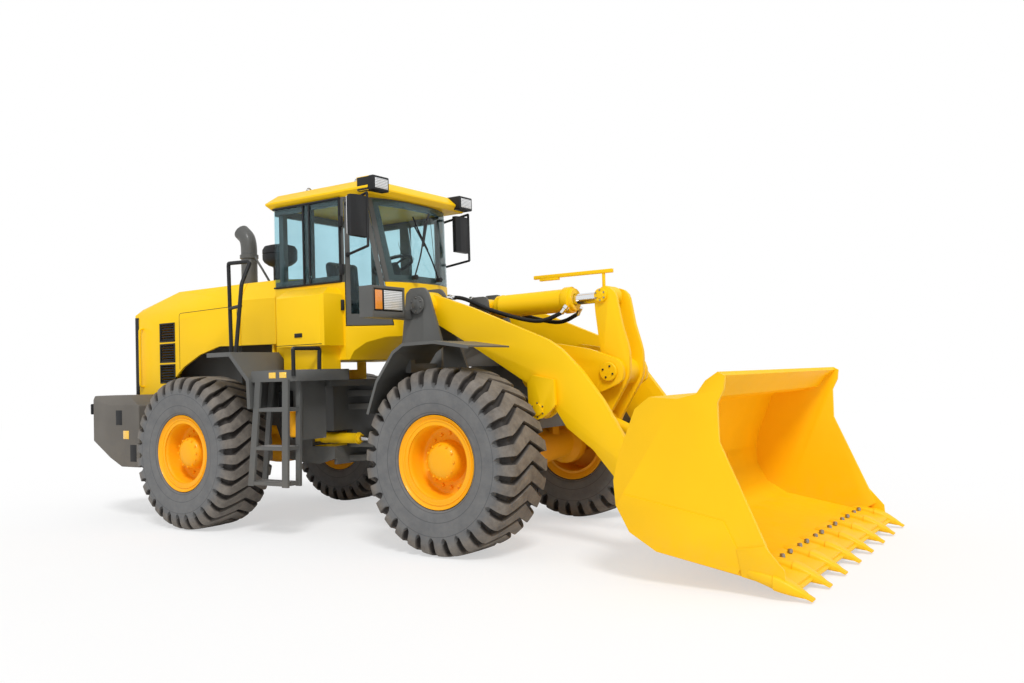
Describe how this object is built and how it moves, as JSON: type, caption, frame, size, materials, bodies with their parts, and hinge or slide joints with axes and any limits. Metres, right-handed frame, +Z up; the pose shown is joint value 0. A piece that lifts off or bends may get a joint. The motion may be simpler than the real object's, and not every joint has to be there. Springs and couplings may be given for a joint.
{
  "type": "wheel loader",
  "caption": "Articulated wheel loader with a tapered glass cab, lift arms on a Z-bar linkage, a toothed bucket, a rear engine hood and a counterweight.",
  "frame": {"origin": "on the ground, under the middle of the machine's overall length and width", "axes": "+X forward towards the bucket, +Y to the driver's left, +Z up"},
  "size_m": [8.152, 2.988, 3.352],
  "materials": {
    "yellow": "gloss enamel",
    "slate": "satin",
    "black": "matte",
    "tyre": "matte",
    "hose": "matte",
    "chrome": "polished",
    "steel": "machined",
    "ballast": "rough paint",
    "glass": "tinted",
    "seat": "woven"
  },
  "bodies": {
    "rear": {"rear_frame": "slate", "rear_axle": "yellow", "engine_block": "slate", "transmission": "yellow", "counterweight": "ballast", "mid_cover": "yellow", "exhaust_stack": "black", "air_precleaner": "black", "cab_base": "yellow", "cab_frame": "slate", "cab_roof": "yellow", "cab_glass": "glass", "windshield": "glass", "seat": "seat", "steering_console": "black", "access_platform_left": "slate", "access_platform_right": "slate"},
    "front": {"front_frame": "slate", "front_axle": "yellow", "front_fender_left": "slate", "front_fender_right": "slate", "headlight_left": "slate", "headlight_right": "slate"},
    "boom": {"boom": "yellow"},
    "crank_pin": {"crank_pin": "slate"},
    "bellcrank": {"bellcrank": "yellow"},
    "link_pin": {"link_pin": "steel"},
    "bucket_link": {"bucket_link": "yellow"},
    "bucket_pins": {"bucket_pin_left": "steel", "bucket_pin_right": "steel"},
    "bucket": {"bucket": "yellow"},
    "tilt_barrel": {"tilt_cylinder_barrel": "yellow", "tilt_hose_left": "hose", "tilt_hose_right": "hose"},
    "tilt_rod": {"tilt_cylinder_rod": "chrome"},
    "hood": {"hood": "yellow", "radiator_grille": "black"},
    "lift_barrel_left": {"lift_cylinder_barrel_left": "yellow"},
    "lift_rod_left": {"lift_cylinder_rod_left": "chrome"},
    "steering_barrel_left": {"steering_cylinder_barrel_left": "yellow"},
    "steering_rod_left": {"steering_cylinder_rod_left": "chrome"},
    "door_left": {"door_left": "slate", "door_glass_left": "glass", "mirror_left": "black"},
    "front_wheel_left": {"front_rim_left": "yellow", "front_tyre_left": "tyre"},
    "rear_wheel_left": {"rear_rim_left": "yellow", "rear_tyre_left": "tyre"},
    "lift_barrel_right": {"lift_cylinder_barrel_right": "yellow"},
    "lift_rod_right": {"lift_cylinder_rod_right": "chrome"},
    "steering_barrel_right": {"steering_cylinder_barrel_right": "yellow"},
    "steering_rod_right": {"steering_cylinder_rod_right": "chrome"},
    "door_right": {"door_right": "slate", "door_glass_right": "glass", "mirror_right": "black"},
    "front_wheel_right": {"front_rim_right": "yellow", "front_tyre_right": "tyre"},
    "rear_wheel_right": {"rear_rim_right": "yellow", "rear_tyre_right": "tyre"}
  },
  "joints": [
    {"name": "articulation", "type": "hinge", "parent": "rear", "child": "front", "pos_m": [-0.506, 0, 0.98], "axis": [0, 0, 1], "range_deg": [-38, 38]},
    {"name": "boom_lift", "type": "hinge", "parent": "front", "child": "boom", "pos_m": [0.464, 0, 2.105], "axis": [0, -1, 0], "range_deg": [0, 82]},
    {"name": "bucket_pins", "type": "hinge", "parent": "boom", "child": "bucket_pins", "pos_m": [2.514, 0, 0.52], "axis": [0, -1, 0], "range_deg": [-69, 0]},
    {"name": "bucket_tilt", "type": "hinge", "parent": "bucket_pins", "child": "bucket", "pos_m": [2.514, 0, 0.52], "axis": [0, 1, 0], "range_deg": [-50, 45]},
    {"name": "crank_pin_turn", "type": "hinge", "parent": "boom", "child": "crank_pin", "pos_m": [2.114, 0, 1.45], "axis": [0, -1, 0], "range_deg": [0, 24]},
    {"name": "bellcrank_turn", "type": "hinge", "parent": "crank_pin", "child": "bellcrank", "pos_m": [2.114, 0, 1.45], "axis": [0, -1, 0], "range_deg": [-24.5, 22]},
    {"name": "link_pin_turn", "type": "hinge", "parent": "bucket", "child": "link_pin", "pos_m": [2.664, 0, 0.72], "axis": [0, -1, 0], "range_deg": [0, 44]},
    {"name": "bucket_link_turn", "type": "hinge", "parent": "link_pin", "child": "bucket_link", "pos_m": [2.664, 0, 0.72], "axis": [0, -1, 0], "range_deg": [-43.5, 39.5]},
    {"name": "tilt_cylinder_swing", "type": "hinge", "parent": "front", "child": "tilt_barrel", "pos_m": [0.714, 0, 2.09], "axis": [0, -1, 0], "range_deg": [0, 86]},
    {"name": "tilt_cylinder_stroke", "type": "slide", "parent": "tilt_barrel", "child": "tilt_rod", "axis": [0.9999, 0, 0.0154], "range_m": [-0.24, 0.265]},
    {"name": "lift_cylinder_swing_left", "type": "hinge", "parent": "front", "child": "lift_barrel_left", "pos_m": [0.044, 0.6, 0.86], "axis": [0, -1, 0], "range_deg": [0, 46.5]},
    {"name": "lift_cylinder_stroke_left", "type": "slide", "parent": "lift_barrel_left", "child": "lift_rod_left", "axis": [0.9843, 0, 0.1767], "range_m": [0, 1.13]},
    {"name": "steering_cylinder_swing_left", "type": "hinge", "parent": "rear", "child": "steering_barrel_left", "pos_m": [-1.226, 0.36, 0.86], "axis": [0, 0, 1], "range_deg": [-12.5, 12.5]},
    {"name": "steering_cylinder_stroke_left", "type": "slide", "parent": "steering_barrel_left", "child": "steering_rod_left", "axis": [0.9996, -0.0275, 0], "range_m": [-0.225, 0.225]},
    {"name": "lift_cylinder_swing_right", "type": "hinge", "parent": "front", "child": "lift_barrel_right", "pos_m": [0.044, -0.6, 0.86], "axis": [0, -1, 0], "range_deg": [0, 46.5]},
    {"name": "lift_cylinder_stroke_right", "type": "slide", "parent": "lift_barrel_right", "child": "lift_rod_right", "axis": [0.9843, 0, 0.1767], "range_m": [0, 1.13]},
    {"name": "steering_cylinder_swing_right", "type": "hinge", "parent": "rear", "child": "steering_barrel_right", "pos_m": [-1.226, -0.36, 0.86], "axis": [0, 0, 1], "range_deg": [-12.5, 12.5]},
    {"name": "steering_cylinder_stroke_right", "type": "slide", "parent": "steering_barrel_right", "child": "steering_rod_right", "axis": [0.9996, 0.0275, 0], "range_m": [-0.225, 0.225]},
    {"name": "front_wheel_left_spin", "type": "hinge", "parent": "front", "child": "front_wheel_left", "pos_m": [1.094, 1.095, 0.7634], "axis": [0, 1, 0], "continuous": true},
    {"name": "front_wheel_right_spin", "type": "hinge", "parent": "front", "child": "front_wheel_right", "pos_m": [1.094, -1.095, 0.7634], "axis": [0, 1, 0], "continuous": true},
    {"name": "rear_wheel_left_spin", "type": "hinge", "parent": "rear", "child": "rear_wheel_left", "pos_m": [-2.106, 1.095, 0.7634], "axis": [0, 1, 0], "continuous": true},
    {"name": "rear_wheel_right_spin", "type": "hinge", "parent": "rear", "child": "rear_wheel_right", "pos_m": [-2.106, -1.095, 0.7634], "axis": [0, 1, 0], "continuous": true},
    {"name": "door_left", "type": "hinge", "parent": "rear", "child": "door_left", "pos_m": [-0.406, 0.77, 2.5], "axis": [0, 0, -1], "range_deg": [-100, 0]},
    {"name": "door_right", "type": "hinge", "parent": "rear", "child": "door_right", "pos_m": [-0.406, -0.77, 2.5], "axis": [0, 0, -1], "range_deg": [0, 100]},
    {"name": "hood", "type": "hinge", "parent": "rear", "child": "hood", "pos_m": [-3.836, 0, 1.25], "axis": [0, -1, 0], "range_deg": [0, 55]}
  ],
  "couplings": [
    {"joint": "bucket_pins", "follows": "boom_lift", "ratio": -0.84},
    {"joint": "crank_pin_turn", "follows": "boom_lift", "ratio": 0.287},
    {"joint": "bellcrank_turn", "follows": "bucket_tilt", "ratio": 0.48},
    {"joint": "link_pin_turn", "follows": "boom_lift", "ratio": 0.527},
    {"joint": "bucket_link_turn", "follows": "bucket_tilt", "ratio": 0.862},
    {"joint": "tilt_cylinder_swing", "follows": "boom_lift", "ratio": 1.04},
    {"joint": "tilt_cylinder_stroke", "follows": "bucket_tilt", "m_per_rad": -0.3},
    {"joint": "lift_cylinder_swing_left", "follows": "boom_lift", "ratio": 0.562},
    {"joint": "lift_cylinder_stroke_left", "follows": "boom_lift", "m_per_rad": 0.782},
    {"joint": "steering_cylinder_swing_left", "follows": "articulation", "ratio": 0.324},
    {"joint": "steering_cylinder_stroke_left", "follows": "articulation", "m_per_rad": -0.332},
    {"joint": "lift_cylinder_swing_right", "follows": "boom_lift", "ratio": 0.562},
    {"joint": "lift_cylinder_stroke_right", "follows": "boom_lift", "m_per_rad": 0.782},
    {"joint": "steering_cylinder_swing_right", "follows": "articulation", "ratio": 0.324},
    {"joint": "steering_cylinder_stroke_right", "follows": "articulation", "m_per_rad": 0.332}
  ]
}
